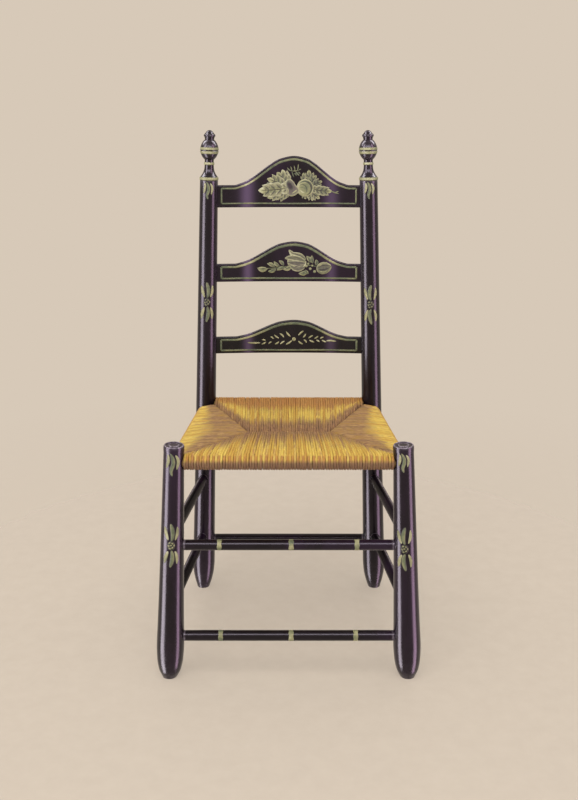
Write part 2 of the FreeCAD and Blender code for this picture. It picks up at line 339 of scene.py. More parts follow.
def paint_material(name, gloss, index=1.5, mid=(20, 13, 19), thin=(38, 22, 42)):
    """Old aubergine paint, nearly black and purple in patches, with a painted lilac sheen and pale worn
    paint that is partly a painted highlight.
    """
    n = Nodes(name)
    broad = n.noise(7, 4, 0.6, n.stretched((1, 1, 0.22)), 0.6)
    fine = n.noise(160, 3, 0.6)
    base = n.ramp(broad, (0.32, (12, 9, 10)), (0.52, mid), (0.7, thin))
    # painted highlight: a lilac sheen mixed into the colour in upright bands where the slats' gloss
    # would shine
    painted_sheen_mask = n.times(n.attribute("bloom"), n.grey(broad, 0.7, 1, 0.35, 0.65))
    colour = n.mix(painted_sheen_mask, base, (112, 90, 122))
    # pale worn paint, partly real and partly painted highlights on edges, rings and bars
    rubbed_and_highlit = n.times(n.attribute("wear"), n.grey(fine, 0.25, 0.9, 0.4, 0.62))
    colour = n.mix(rubbed_and_highlit, colour, (146, 134, 146))
    flecks = n.grey(n.noise(420, 2, 0.5), 0, 0.1, 0.62, 0.74)
    colour = n.mix(flecks, colour, (92, 78, 88))
    brushed = n.noise(60, 3, 0.6, n.stretched((1, 1, 0.12)))
    return n.surface(
        Base_Color=colour, Roughness=n.grey(n.noise(34, 1, 0.5), 0.2, 0.26),
        Normal=n.bump(brushed, 0.05, 0.0005), Specular_IOR_Level=gloss, IOR=index,
        Specular_Tint=(0.92, 0.86, 0.98, 1),
    )


def stencil_material():
    """Bronze powder and oil colour laid thinly through a stencil."""
    n = Nodes("stencil_colour")
    mottle = n.noise(150, 4, 0.65)
    drift = n.noise(22, 3, 0.5)
    value = n.plus(n.attribute("tone"), n.grey(mottle, -0.12, 0.12))
    value = n.plus(value, n.grey(drift, -0.1, 0.1, 0.35, 0.65))
    green = n.ramp(
        value, (0, (38, 34, 31)), (0.2, (70, 72, 57)), (0.42, (101, 109, 83)),
        (0.62, (134, 134, 98)), (0.82, (167, 163, 121)), (1, (200, 197, 162)),
    )
    mauve = n.ramp(value, (0.2, (58, 46, 52)), (0.6, (108, 94, 96)), (0.9, (160, 150, 142)))
    return n.surface(
        Base_Color=n.mix(n.attribute("mauve"), green, mauve), Roughness=n.grey(mottle, 0.42, 0.6),
        Normal=n.bump(mottle, 0.25, 0.0004), Specular_IOR_Level=0.18,
    )


def rush_material(name, core=False):
    """Twisted rush: gold to ochre from cord to cord, browner in zones, some of which are painted shade.
    """
    n = Nodes(name)
    strand = n.attribute("strand")
    zone = n.attribute("zone", "Vector")
    # the brown value carries painted shade as well as brown straw, and the band value painted shade
    # only
    brown_and_shade_zone, orange_zone, shaded_band_zone = (n.add("SeparateXYZ", {0: zone}, k) for k in range(3))
    fibre = n.attribute("fibre", "Vector")
    streaks = n.noise(1, 4, 0.62, n.stretched((26, 2.4, 3), fibre), 0.3)
    fine = n.noise(1, 5, 0.7, n.stretched((90, 9, 7), fibre))
    patch = n.noise(9, 2, 0.5)
    colour = n.ramp(
        n.plus(n.times(strand, 0.5), n.times(streaks, 0.6)), (0.16, (168, 120, 58)),
        (0.34, (200, 156, 68)), (0.5, (214, 180, 80)), (0.68, (230, 202, 98)), (0.86, (204, 168, 92)),
    )
    colour = n.mix(n.grey(patch, 0, 0.3, 0.52, 0.68), colour, (172, 152, 88))
    uneven = n.plus(n.grey(streaks, -0.34, 0.34), n.grey(strand, -0.25, 0.25, 0, 1))
    orange = n.ramp(fine, (0.35, (150, 94, 50)), (0.6, (188, 126, 70)))
    colour = n.mix(n.grey(n.plus(orange_zone, uneven), 0, 0.8, 0.3, 0.95), colour, orange)
    brown = n.ramp(streaks, (0.3, (96, 66, 52)), (0.5, (142, 104, 76)), (0.7, (190, 150, 94)))
    colour = n.mix(n.grey(n.plus(brown_and_shade_zone, uneven), 0, 0.92, 0.3, 0.95), colour, brown)
    # painted shade: a dull brown for the front roll's lower face and the undersides
    band = n.ramp(fine, (0.35, (110, 82, 62)), (0.6, (138, 104, 82)))
    colour = n.shaded(n.mix(shaded_band_zone, colour, band), n.grey(fine, 0.78, 1.12))
    if core:
        colour = n.mix(0.75, colour, (84, 58, 40))
    height = n.plus(n.times(streaks, 0.5), n.times(fine, 0.5))
    return n.surface(
        Base_Color=colour, Roughness=n.grey(fine, 0.55, 0.8), Normal=n.bump(height, 0.55, 0.0011),
        Specular_IOR_Level=0.12,
    )


def wood_material(name, dark, light, scale):
    """Wood with its grain along X."""
    n = Nodes(name)
    grain = n.noise(scale, 5, 0.65, n.stretched((0.12, 1, 1)), 1.2)
    pores = n.noise(scale * 6, 3, 0.6, n.stretched((0.06, 1, 1)))
    colour = n.ramp(grain, (0.3, dark), (0.62, light))
    return n.surface(
        Base_Color=n.mix(n.grey(pores, 0, 0.35, 0.55, 0.7), colour, dark),
        Roughness=n.grey(grain, 0.45, 0.65), Normal=n.bump(pores, 0.3, 0.0005),
    )


PAINT = paint_material("aubergine_paint", 0.32)
DULL_PAINT = paint_material("dulled_paint", 0.3, 1.1)
GREEN_PAINT = paint_material("greened_paint", 0.32, 1.5, (14, 15, 11), (30, 24, 27))
STENCIL = stencil_material()
RUSH = rush_material("twisted_rush")
PACKING = rush_material("rush_packing", core=True)
RAIL_WOOD = wood_material("rail_wood", (112, 78, 48), (158, 118, 76), 90)
PEG_WOOD = wood_material("peg_wood", (96, 64, 40), (140, 100, 62), 220)


# ---- posts

class Post:
    """A splayed turned post, and the skin that paint and painted marks follow."""

    def __init__(self, side, kind):
        size = POST_SIZES[kind]
        self.side, self.kind, self.height = side, kind, size["height"]
        self.foot = np.array((side * size["floor"], size["y"], 0))
        self.head = np.array((side * size["top"], size["y"] + size["rake"], self.height))
        self.length = np.linalg.norm(self.head - self.foot)
        self.axis = unit(self.head - self.foot)
        self.right = unit(RIGHT - self.axis[0] * self.axis)
        self.front = np.cross(self.right, self.axis)
        self.shaft = self.length - size["head"]
        shares, heights = np.array(SHAFTS[kind]).T
        # rings lie closer round the foot, and one marks the shaft's end
        s = np.concatenate([np.linspace(0, 0.16, 34), np.linspace(0.16, 1, 40)[1:-1], (0.996, 1)])
        points = list(zip(even_curve(heights, shares * size["belly"], s), s * self.shaft))
        for before, run in zip(HEADS[kind], HEADS[kind][1:]):
            run = smooth_run(before[-1:] + run, 5 if len(run) > 1 else 1)
            points += [(r, z + self.shaft) for r, z in run[1:]]
        self.profile = np.array(points)

    def on_axis(self, z):
        return lerp(self.foot, self.head, z / self.height)

    def radius(self, s):
        return np.interp(s, self.profile[:, 1], self.profile[:, 0])

    def skin(self, angle, s, r):
        angle, s, r = (np.asarray(v, float)[..., None] for v in (angle, s, r))
        return self.foot + self.axis * s + r * (self.right * np.sin(angle) + self.front * np.cos(angle))

    def chart(self, u, w, lift):
        """u to the right from the middle of the front, w up the shaft."""
        r = self.radius(w)
        return self.skin(u / r, w, r + lift)


def build_post(name, post, segments=80):
    radius, height = post.profile.T
    rise = height - post.shaft
    # outward corners are worn pale, and so is the foot's edge: partly real, partly painted highlights
    # on those edges
    step = np.diff(post.profile, axis=0)
    turn = np.diff(np.unwrap(np.arctan2(step[:, 1], step[:, 0])))
    turn = np.clip(np.concatenate([[0], turn, [0]]), 0, 0.5) / 0.5
    wear = np.clip(np.convolve(turn, (0.5, 1, 0.5), "same"), 0, 1)
    wear += 0.8 * np.clip(1 - height / 14, 0, 1)
    angles = circle(segments)
    rows = np.array([post.skin(angles, s, r) for r, s in post.profile])
    # the foot is cut level where it meets the floor
    rows[0, :, 2] = 0
    rows[..., 2] = np.maximum(rows[..., 2], 0)
    # the head's corners are paler than the shaft's, a painted highlight on its brims and beads
    wear = np.clip(wear, 0, 1) * np.where(rise > 1, 0.7, 0.35)
    if post.kind == "front":
        # painted highlights: the lip and the inner ring on top are painted pale, like worn paint
        wear += 1.3 * bell(radius, 17.2, 1.2) * (rise > 12.8)
        wear += 1.1 * bell(radius, 9, 1.2) * (rise > 12)
    faces = [f[::-1] for f in loft_faces(len(rise), segments, caps=True)]
    wear = np.repeat(wear, segments)
    add_piece(name, rows, faces, PAINT, "black_paint", [name], 35, wear=[wear], bloom=[0 * wear])


POSTS = {}
for hand, side in (("left", -1), ("right", 1)):
    for kind in ("front", "back"):
        POSTS[hand, kind] = Post(side, kind)
        build_post(hand + "_" + kind + "_post", POSTS[hand, kind])


# ---- stretchers

def build_stretcher(name, first, z1, second, z2, paint=PAINT, painted_highlight_side=0, segments=40):
    """A round bar into two posts. One at the side has a painted highlight line towards the middle,
    drawn as worn paint.
    """
    start, end = first.on_axis(z1), second.on_axis(z2)
    length = np.linalg.norm(end - start)
    axis = unit(end - start)
    up = unit(UP - axis[2] * axis)
    angles = circle(segments)
    ring = wheel(angles, up, np.cross(axis, up))
    # painted highlight: a pale line along a side bar
    line = np.zeros(segments)
    if painted_highlight_side:
        off = (angles + painted_highlight_side * 0.47 + pi) % tau - pi
        line = 1.3 * bell(off, 0, 0.16)
    skin1, skin2 = first.radius(z1), length - second.radius(z2)
    near, far = skin1 - BAR_BURY, skin2 + BAR_BURY
    t = np.concatenate([
        np.linspace(near, near + BAR_END, 12),
        np.linspace(near + BAR_END, far - BAR_END, 26)[1:-1],
        np.linspace(far - BAR_END, far, 12),
    ])
    radius = BAR_RADIUS - 0.25 * ((t - length / 2) / (length / 2)) ** 4
    rows, wear = [], []
    for along, r in zip(t, radius):
        rows.append(start + axis * along + r * ring)
        gap = min(along - skin1, skin2 - along)
        # painted highlight: a pale ring where the bar meets each post
        shoulder = max(0, 0.9 - abs(gap - 1) / 2.6)
        wear.append(np.maximum(line * ramp_up(3, 12, gap), shoulder))
    add_piece(name, rows, loft_faces(len(t), segments, caps=True), paint, "black_paint", [name],
              wear=wear, bloom=[0 * line] * len(t))


L_FRONT, L_BACK, R_FRONT, R_BACK = POSTS.values()
for level, z in FRONT_STRETCHERS.items():
    build_stretcher("front_%s_stretcher" % level, L_FRONT, z, R_FRONT, z)
build_stretcher("rear_stretcher", L_BACK, REAR_STRETCHER, R_BACK, REAR_STRETCHER)
for hand, front, back in (("left", L_FRONT, L_BACK), ("right", R_FRONT, R_BACK)):
    for level, (z1, z2) in SIDE_STRETCHERS.items():
        name = "%s_%s_side_stretcher" % (hand, level)
        build_stretcher(name, front, z1, back, z2, DULL_PAINT, -front.side)


# ---- slats

LEAN = atan2(POST_SIZES["back"]["rake"], POST_SIZES["back"]["height"])


def lean_back(x, y, z):
    """Points given in the upright plane of the back, leaned back with it."""
    x, y, z = np.broadcast_arrays(*(np.asarray(v, float) for v in (x, y, z)))
    return np.stack([x, BACK_Y + y * cos(LEAN) + z * sin(LEAN),
                     z * cos(LEAN) - y * sin(LEAN)], -1)


class Slat:
    """A bowed slat: u runs across its front from the middle, w up from its lower edge."""

    def __init__(self, bottom, end, rise):
        size = POST_SIZES["back"]
        self.low = bottom / cos(LEAN)
        self.end = end / cos(LEAN)
        self.span = size["floor"] - BACK_SPLAY * (bottom + end / 2) / size["height"]
        self.bend = (self.span ** 2 + SLAT_BOW ** 2) / (2 * SLAT_BOW)
        x, z = np.array(CREST + tuple((-x, z) for x, z in CREST[-2::-1])).T
        x = x * CREST_HALF + lerp(CREST_OFFSETS[0], CREST_OFFSETS[1], z)
        self.xs = np.concatenate([[-self.span], x[::-1], [self.span]])
        self.zs = np.concatenate([[0], z[::-1] * rise, [0]])

    def top(self, u):
        return self.end + even_curve(self.xs, self.zs, u)

    def middle(self, u):
        return SLAT_BOW - self.bend + np.sqrt(self.bend ** 2 - np.asarray(u, float) ** 2)

    def chart(self, u, w, lift):
        return lean_back(u, self.middle(u) - SLAT_THICK / 2 - lift, self.low + w)


def build_slat(name, slat, paint, share, spread):
    """A slat with rounded edges, with two upright bands of painted sheen."""
    us = np.linspace(-slat.span + SLAT_SHORT, slat.span - SLAT_SHORT, 181)
    half = SLAT_THICK / 2
    rows, wear, bloom = [], [], []
    for u in us:
        edges = (SLAT_CORNER, float(slat.top(u)) - SLAT_CORNER)
        loop = []
        for side, level, start in ((-1, 0, 1), (1, 0, 1.5), (1, 1, 0), (-1, 1, 0.5)):
            for turn in np.linspace(start * pi, (start + 0.5) * pi, 5):
                loop.append((side * (half - SLAT_CORNER) + SLAT_CORNER * cos(turn),
                             edges[level] + SLAT_CORNER * sin(turn), 1))
            if side == (1, -1)[level]:
                loop += [(side * half, lerp(edges[level], edges[1 - level], k / 6), 0)
                         for k in range(1, 6)]
        y, z, on_edge = np.array(loop).T
        rows.append(lean_back(u, float(slat.middle(u)) + y, slat.low + z))
        wear.append(0.03 * on_edge)
        # painted highlight: two upright bands of lilac sheen where the gloss would catch the light
        bloom.append(np.full(len(y), share * (bell(u, -88, spread) + 0.6 * bell(u, 91, spread))))
    add_piece(name, rows, loft_faces(len(us), len(y), caps=True), paint, "black_paint", [name],
              wear=wear, bloom=bloom)


ALL_SLATS = {name: Slat(**size) for name, size in SLATS.items()}
# each slat's paint, and the strength and width of its painted sheen bands
for name, paint, share, spread in (
    ("top_slat", PAINT, 0.78, 14), ("middle_slat", PAINT, 0.72, 10),
    ("bottom_slat", GREEN_PAINT, 0.62, 10),
):
    build_slat(name, ALL_SLATS[name], paint, share, spread)


def build_peg(name, side):
    """A small whittled peg, seen behind the top slat's joint."""
    low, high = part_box(name)
    centre = (np.array(low) + np.array(high)) / 2 / MM
    axis = unit((0, cos(LEAN), -sin(LEAN)))
    reach = (high.y - low.y) / MM / 2 / axis[1]
    angles = circle(18)
    whittled = 1 + 0.035 * np.cos(5 * angles + side)
    ring = whittled[:, None] * wheel(angles, RIGHT, np.cross(RIGHT, axis))
    profile = ((2.5, 0.2 - reach), (2.55, 0), (2.55, reach - 0.9), (2.2, reach - 0.35),
               (1.3, reach - 0.12), (0.2, reach - 0.05))
    rows = [centre + axis * s + r * ring for r, s in profile]
    add_piece(name, rows, loft_faces(len(rows), 18, caps=True), PEG_WOOD, "peg_wood", [name], 50)


for hand, side in (("left", -1), ("right", 1)):
    build_peg(hand + "_slat_peg", side)


# ---- stencils

def ribbon(line, half, across):
    """Points side by side along a line, out to half its width at each place."""
    run = unit_rows(np.gradient(line, axis=0))
    side = np.stack([-run[:, 1], run[:, 0]], 1)
    v = np.linspace(-1, 1, across)
    return line[:, None, :] + side[:, None, :] * (half[:, None] * v)[..., None], v


class Stencil:
    """Painted marks on one surface: flat shapes in its chart, laid just above it."""

    def __init__(self, chart):
        self.chart, self.count = chart, 0
        self.points, self.tones, self.mauves, self.faces = [], [], [], []

    def patch(self, grid, tones, layer, around=False, mauve=0):
        """A grid of points with their tones. A higher layer lies further out."""
        rows, cols = grid.shape[:2]
        self.points.append(self.chart(*grid.reshape(-1, 2).T, PAINT_LIFT + LAYER_LIFT * layer))
        for kept, values in ((self.tones, tones), (self.mauves, mauve)):
            kept.append(np.broadcast_to(values, (rows, cols)).ravel())
        self.faces += loft_faces(rows, cols, around, self.count)
        self.count += rows * cols

    def stroke(self, path, width, tone, layer=0, fade=0, taper=0.7, split=0, steps=8,
               across=5, mauve=0, hollow=0):
        """A brush stroke along a path. Fade changes its tone along it and split across
        it, taper 0 keeps its full width to the ends, and hollow pales its edges."""
        line = smooth_run(path, steps)
        t = run_lengths(line)
        t /= t[-1]
        half = 0 * t + width / 2
        if taper:
            half = half * np.maximum(np.sin(pi * t), 0) ** taper + 0.12
        grid, v = ribbon(line, half, across)
        tones = tone + fade * (t[:, None] - 0.5) + split * v + hollow * (v ** 2 - 0.4)
        self.patch(grid, tones, layer, mauve=mauve * (1 - 0.9 * v ** 4) if hollow else mauve)

    def leaf(self, base, tip, width, teeth, tone, layer, curl):
        """A cut leaf: pointed lobes in pairs along a middle vein."""
        run = tip - base
        ahead = unit(run)
        side = np.array((-ahead[1], ahead[0]))

        def spine(t):
            return base + run * t + side * curl * sin(pi * t)
        self.stroke([spine(t) for t in np.linspace(0, 0.94, 7)], width * 0.42, tone - 0.1, layer,
                    taper=0.9, across=7)
        step = np.linalg.norm(run) / (teeth + 1)
        for k in range(teeth):
            t = (k + 0.2) / (teeth + 1)
            reach = width / 2 * sin(pi * (0.22 + 0.75 * t))
            start = spine(t)
            for s in (-1, 1):
                end = start + ahead * (step * 0.8 + reach * 0.46) + side * s * reach * 1.12
                bend = lerp(start, end, 0.5) - ahead * 0.12 * reach + side * s * 0.14 * reach
                self.stroke([start, bend, end], step * 0.92, tone - 0.04, layer + 1, 0.6, 1.5,
                            0.08 * s, hollow=0.24, mauve=0.25)
                self.stroke([lerp(start, end, 0.08), lerp(bend, end, 0.4)], 1, 0.2, layer + 2,
                            taper=0.6, steps=4, across=3, mauve=0.9)
        self.stroke([spine(0.68), spine(0.84), tip + ahead], step * 1.05, tone + 0.12, layer + 1,
                    0.14, 1, steps=5, hollow=0.2)
        self.stroke([spine(0.04), spine(0.5), spine(0.9)], 1.4, 0.14, layer + 2, taper=0.4, mauve=0.9)

    def leaflet(self, base, tip, width, tone, layer, bend):
        """A plain leaf, pale along one edge, with a short dark vein."""
        side = np.array((base[1] - tip[1], tip[0] - base[0])) * bend
        self.stroke([base, lerp(base, tip, 0.5) + side, tip], width, tone, layer, 0.2, 0.9, 0.12,
                    hollow=0.3)
        self.stroke([lerp(base, tip, 0.1), lerp(base, tip, 0.7) + side * 0.5], 1.1, 0.18, layer + 1,
                    taper=0.6, steps=5, across=3, mauve=0.6)

    def blob(self, centre, size, turn, tone, layer, rim=0, lean=(0, 0), point=0, rings=7,
             sides=32, mauve=0, edge=3):
        """A rounded shape. Rim pales its outline, the more closely the higher edge is. Point
        draws it out to one side, and lean shades it towards a side."""
        phi = circle(sides)
        rho = np.linspace(0.02, 1, rings)[:, None]
        reach = 1 + point * (np.cos(phi / 2) ** 8)
        x = rho * np.cos(phi) * reach * size[0] / 2
        y = rho * np.sin(phi) * size[1] / 2
        tones = tone + rim * rho ** edge + lean[0] * rho * np.cos(phi) + lean[1] * rho * np.sin(phi)
        c, s = cos(turn), sin(turn)
        grid = np.stack([centre[0] + c * x - s * y, centre[1] + s * x + c * y], -1)
        self.patch(grid, tones, layer, around=True, mauve=mauve * (1 - rho ** 4))

    def build(self, name):
        piece = add_piece(name, self.points, self.faces, STENCIL, sharp=0, tone=self.tones,
                          mauve=self.mauves)
        shell = piece.modifiers.new("thickness", "SOLIDIFY")
        shell.thickness = 0.00012
        shell.offset = 0


def slat_border(art, slat, side_in, low_in, high_in, width):
    """The painted line just inside a slat's outline."""
    reach = slat.span - side_in
    us = np.linspace(-reach, reach, 90)
    tops = slat.top(us)
    slope = np.gradient(tops, us)
    normal = np.stack([slope, -np.ones_like(slope)], 1) / np.sqrt(1 + slope ** 2)[:, None]
    crest = np.stack([us, tops], 1) + normal * high_in
    crest = crest[np.abs(crest[:, 0]) <= reach]
    crest[0, 0], crest[-1, 0] = -reach, reach
    # the line is wider near the crest's top, and gleams on both slopes
    grid, v = ribbon(crest, (1 + 0.25 * bell(crest[:, 0], 8, 70)) * width / 2, 5)
    gleam = 0.42 * bell(np.abs(crest[:, 0]), 88, 22)
    art.patch(grid, (0.42 + gleam)[:, None] + 0.04 * v, 0)
    low = [(share * reach, low_in + off)
           for share, off in ((-1, 0), (-0.5, 0.4), (0, -0.3), (0.5, 0.3), (1, 0))]
    art.stroke(low, width * 0.8, 0.5, taper=0, steps=14)
    for s, end in ((-1, crest[0, 1]), (1, crest[-1, 1])):
        art.stroke([(s * reach, low_in), (s * reach, end)], width * 0.9, 0.46, taper=0, steps=6)


def table(width, *numbers):
    """Rows of so many numbers."""
    return np.reshape(numbers, (-1, width))


def top_slat_art(art):
    """Two fruits between cut leaves, with a sprig above them."""
    # a dull mass under the leaves closes the gaps between them
    art.blob((-24, 41), (56, 36), 0, 0.34, 0, rings=6)
    art.blob((46, 42), (44, 36), -0.2, 0.34, 0, rings=6)
    # base, tip, width and tone
    leaves = table(
        6, 2, 47, -13.5, 79, 20, 0.74, 0, 46, -25, 73, 19, 0.68, 40, 46, 31, 72, 13, 0.52,
        43, 46, 42, 78, 18, 0.62, 45, 44, 58, 67, 18, 0.56, 2, 34, -12, 20.4, 14, 0.6,
        -1, 36, -27, 17.6, 17, 0.66, 34, 34, 36, 18, 12, 0.58, 44, 34, 50, 14.5, 17, 0.66,
        46, 36, 65, 19, 16, 0.6, 48, 44, 70, 55, 16, 0.62, -2, 42, -45, 60.5, 25, 0.76,
        -3, 39, -44.5, 20.2, 19, 0.72, 48, 39, 91, 34.5, 18, 0.7, 0, 41, -64, 36, 26, 0.84,
    )
    for k, row in enumerate(leaves):
        teeth = 4 if abs(row[2] - row[0]) > 38 else 3
        art.leaf(row[:2], row[2:4], row[4], teeth, row[5], 2 * k, 1.4 * (-1) ** k)
    art.stroke([(88, 35), (98, 31.5), (106.3, 29)], 2.2, 0.62, 30)
    art.stroke([(97.7, 31.5), (105.5, 34.5)], 2, 0.66, 30)
    # three points and a width for each twig of the sprig
    for row in table(
        7, -3.6, 84.1, 1.5, 79, 7, 76.7, 1.7, 7, 76.7, 15, 77.4, 22.7, 78.9, 1.5,
        7, 76.7, 5.6, 81.5, 3.8, 86.8, 1.5, 12.7, 77.3, 12.6, 82.5, 10.9, 88.1, 1.5,
        18, 77.8, 19.8, 85, 20.1, 91.5, 1.8, 20.6, 78.9, 23, 79.6, 25.9, 81.5, 1.4,
        7, 76.2, 8.4, 70, 10.9, 64.1, 1.4, 14.3, 76.2, 18, 71, 22.7, 67, 2.6,
        20.1, 74.9, 22.4, 73.4, 24.6, 70.4, 1.6, 12, 72.5, 15, 69.5, 15.8, 66.5, 2,
    ):
        art.stroke(table(2, row[:6]), row[6] * 1.15, 0.46, 30)
    # a peach behind and a pear in front, each with a pale rim and a shaded cheek
    art.blob((34.6, 41.2), (36, 37), 0, 0.62, 32, rim=0.26, edge=5)
    art.blob((35, 41.4), (30.5, 31.5), 0, 0.2, 33, rim=0.1, mauve=0.3)
    art.blob((32.4, 39.6), (28, 28.5), 0, 0.56, 34, rim=0.22, lean=(-0.08, -0.06))
    cleft = [(22.5, 46.5), (29, 48.6), (35, 45.6), (38.4, 39), (37.4, 31.5)]
    art.stroke(cleft, 2, 0.34, 35, mauve=0.3)
    art.stroke([(24, 42), (28.6, 43), (32.4, 40.6)], 1.3, 0.4, 35)
    art.stroke([(23.5, 37), (28, 33), (33.5, 30.6)], 3, 0.9, 35, taper=0.8)
    pear = [(-7.4, 50), (-6.6, 55.6), (-1.6, 60.2), (5, 59.2), (10.6, 54), (14.8, 47), (20, 41),
            (22.8, 35), (19, 29.6), (11.4, 24.6), (4, 23.4), (-2.4, 26.4), (-5, 32), (-6.4, 40)]
    ring = smooth_run(pear + pear[:1], 3)[:-1]
    middle = np.array((6.6, 41.5))
    rho = np.linspace(0.03, 1, 11)[:, None]
    grid = middle + (ring - middle)[None, :, :] * rho[..., None]
    art.patch(grid, 0.5 + 0.42 * rho ** 4, 36, around=True, mauve=0.85 * (1 - rho ** 5))
    art.blob((2.4, 46), (11, 21), 0.5, 0.16, 37, rim=0.26, mauve=1)
    art.stroke([(7.4, 30), (12.4, 33), (17.4, 37.4)], 3, 0.84, 38, taper=0.8)
    art.stroke([(-1.4, 30), (-1.4, 36), (-2.8, 42)], 1.8, 0.84, 38, taper=0.8)


def middle_slat_art(art):
    """A half-open flower and a bud between plain leaves and berries."""
    art.stroke([(-48.9, 29), (-24.9, 29.5), (6, 35)], 1.6, 0.56)
    art.stroke([(36.3, 35), (49.6, 34.7), (63, 31)], 1.6, 0.46)
    leaves = table(
        6, -45, 28, -67.5, 29.5, 12.5, 0.72, -30, 31.5, -46.5, 39.4, 9, 0.66,
        -20, 33, -31.5, 44, 8.4, 0.62, -10.5, 34.5, -21, 45.5, 8, 0.62,
        -27, 27, -44.5, 22.4, 8.4, 0.62, -8, 30, -26, 24.5, 8.6, 0.66,
        7, 34, -12, 26, 9.4, 0.66, 46, 41, 38, 55.4, 9, 0.58, 52, 39.5, 50, 56.5, 9.4, 0.6,
        58.5, 34.8, 58.5, 48, 8.6, 0.58, 42, 22.4, 21, 17.6, 10.5, 0.6, 35, 25.2, 42.5, 17.4, 8, 0.56,
    )
    for k, row in enumerate(leaves):
        art.leaflet(row[:2], row[2:4], row[4] * 0.9, row[5], 2 + 2 * (k % 4), 0.1 * (-1) ** k)
    berries = ((37.7, 33.8, 5.8), (46, 27.7, 6), (55.5, 21.8, 6.4), (41.7, 38.8, 5), (50.4, 34.6, 4.6))
    for x, y, size in berries:
        art.blob((x, y), (size, size), 0, 0.74, 7, rim=-0.16, lean=(0.06, 0.1), rings=4, sides=16)
    art.blob((17, 41), (41, 31), -0.25, 0.46, 8, rim=0.34, lean=(-0.08, 0.06), mauve=0.5, edge=5)
    petals = (
        ((37.5, 47), (24, 56), (9, 59), (0, 69.2), 11.5, 0.7, 0.25),
        ((36, 43.5), (22, 49.5), (4, 51.5), (-8.6, 50.6), 12, 0.68, 0.25),
        ((35.5, 39.5), (24, 39.5), (10, 40), (-2.6, 42), 11.5, 0.58, 0.6),
        ((35, 33.5), (26, 28.4), (13, 28.4), (2.5, 35.5), 11, 0.58, 0.4),
    )
    for k, (*path, width, tone, mauve) in enumerate(petals):
        art.stroke(path, width, tone, 10 + 2 * k, 0.16, 0.6, 0.06, across=9, mauve=mauve, hollow=0.5)
        line = smooth_run(path, 6)
        for s in (-1, 1):
            vein = [line[2] + (0, s * 0.8), line[9] + (0, s * width * 0.22), line[-5] + (0, s * 0.8)]
            art.stroke(vein, 1.1, 0.36, 11 + 2 * k, taper=0.5, mauve=0.9)
    # light and dark lines, three on the flower and the others on the bud
    lines = (
        (((1, 67), (5.5, 60), (16, 56.2), (29, 52.5)), 1.4, 0.96, 0.6, 0),
        (((12, 31.5), (20, 34), (31, 34)), 1.8, 0.3, 0.6, 0.9),
        (((30, 31), (35.5, 37), (37, 45)), 2.6, 0.86, 0.8, 0),
        (((63, 30), (71, 34.5), (80, 35.8), (92, 33.4)), 1.8, 0.34, 0.6, 0.8),
        (((63.5, 27), (72, 26), (81, 28), (90, 32)), 2.2, 0.36, 0.6, 0.8),
        (((65, 23), (74, 21), (83, 24.5)), 1.8, 0.84, 0.6, 0),
        (((64, 32.6), (71, 38), (80, 39.6)), 1.8, 0.84, 0.6, 0),
    )
    for k, (path, width, tone, taper, mauve) in enumerate(lines):
        if k == 3:
            art.blob((74, 29.4), (29.5, 26), 0.24, 0.52, 8, rim=0.38, lean=(0, 0.06), point=0.22,
                     mauve=0.5, edge=4)
        art.stroke(path, width, tone, 19 if k < 3 else 9, taper=taper, mauve=mauve)


def bottom_slat_art(art):
    """Two rows of short slanting strokes on both sides of a dot."""
    # two ends and a width
    strokes = table(
        5, -5.8, 47.6, 3.9, 36.2, 3.4, -19.8, 43.7, -10.4, 34.8, 3.2, -31.4, 40.4, -21.2, 32.6, 3,
        -40, 36.2, -32.8, 31.5, 2.7, -6.3, 18.7, 7.2, 27.9, 3.3, -18.5, 19.6, -9, 26.5, 3,
        -30.1, 19.6, -21.2, 25.1, 3, -44.1, 20.4, -37.3, 25.1, 2.7, -58.9, 19.6, -49.5, 24.6, 2.7,
        -58.1, 29.6, -50.2, 27.8, 2.6, -89.4, 23.4, -61.6, 22.9, 3.4, 20.7, 39, 32, 49.3, 3.4,
        30.9, 34.4, 37.3, 42.8, 3, 42.8, 32.6, 52.5, 39, 3, 55.7, 32.4, 63.8, 37.6, 2.7,
        67.9, 31.8, 76, 35.9, 2.7, 20.7, 26.5, 30.9, 19.4, 3.3, 32.8, 29.6, 39, 22.6, 3,
        44.4, 29, 55.7, 24.3, 3, 59.8, 29, 66.6, 24.6, 2.7, 71.9, 29, 81.4, 24.8, 2.7,
        81.4, 27.6, 103, 26.5, 3.2,
    )
    for k, row in enumerate(strokes):
        a, b = row[:2], row[2:4]
        middle = (a + b) / 2 + unit((b[1] - a[1], a[0] - b[0])) * 0.7 * (-1) ** k
        art.stroke([a, middle, b], row[4], 0.84, 1, 0.14 if a[0] < 10 else -0.14, 0.55, 0.06)
    art.blob((11.2, 30.7), (8, 8.4), 0, 0.88, 1, rim=-0.1, rings=5, sides=20)


# What is painted on each slat, and how far inside its ends, its lower edge and
# its crest the border runs, with the border's width
for name, draw, border in (
    ("top_slat", top_slat_art, (27, 8.4, 7, 3.5)),
    ("middle_slat", middle_slat_art, (29, 7.4, 6.8, 4.2)),
    ("bottom_slat", bottom_slat_art, (31, 6.8, 6.8, 4.2)),
):
    art = Stencil(ALL_SLATS[name].chart)
    slat_border(art, ALL_SLATS[name], *border)
    draw(art)
    art.build(name + "_stencil")


def draw_marks(art, x, z, scale, up, marks):
    """Strokes drawn to scale from (x, z)."""
    for path, width, tone, layer, fade, taper, split in marks:
        path = [(x + u * scale, z + v * up) for u, v in path]
        art.stroke(path, width * scale, tone, layer, fade, taper, split)


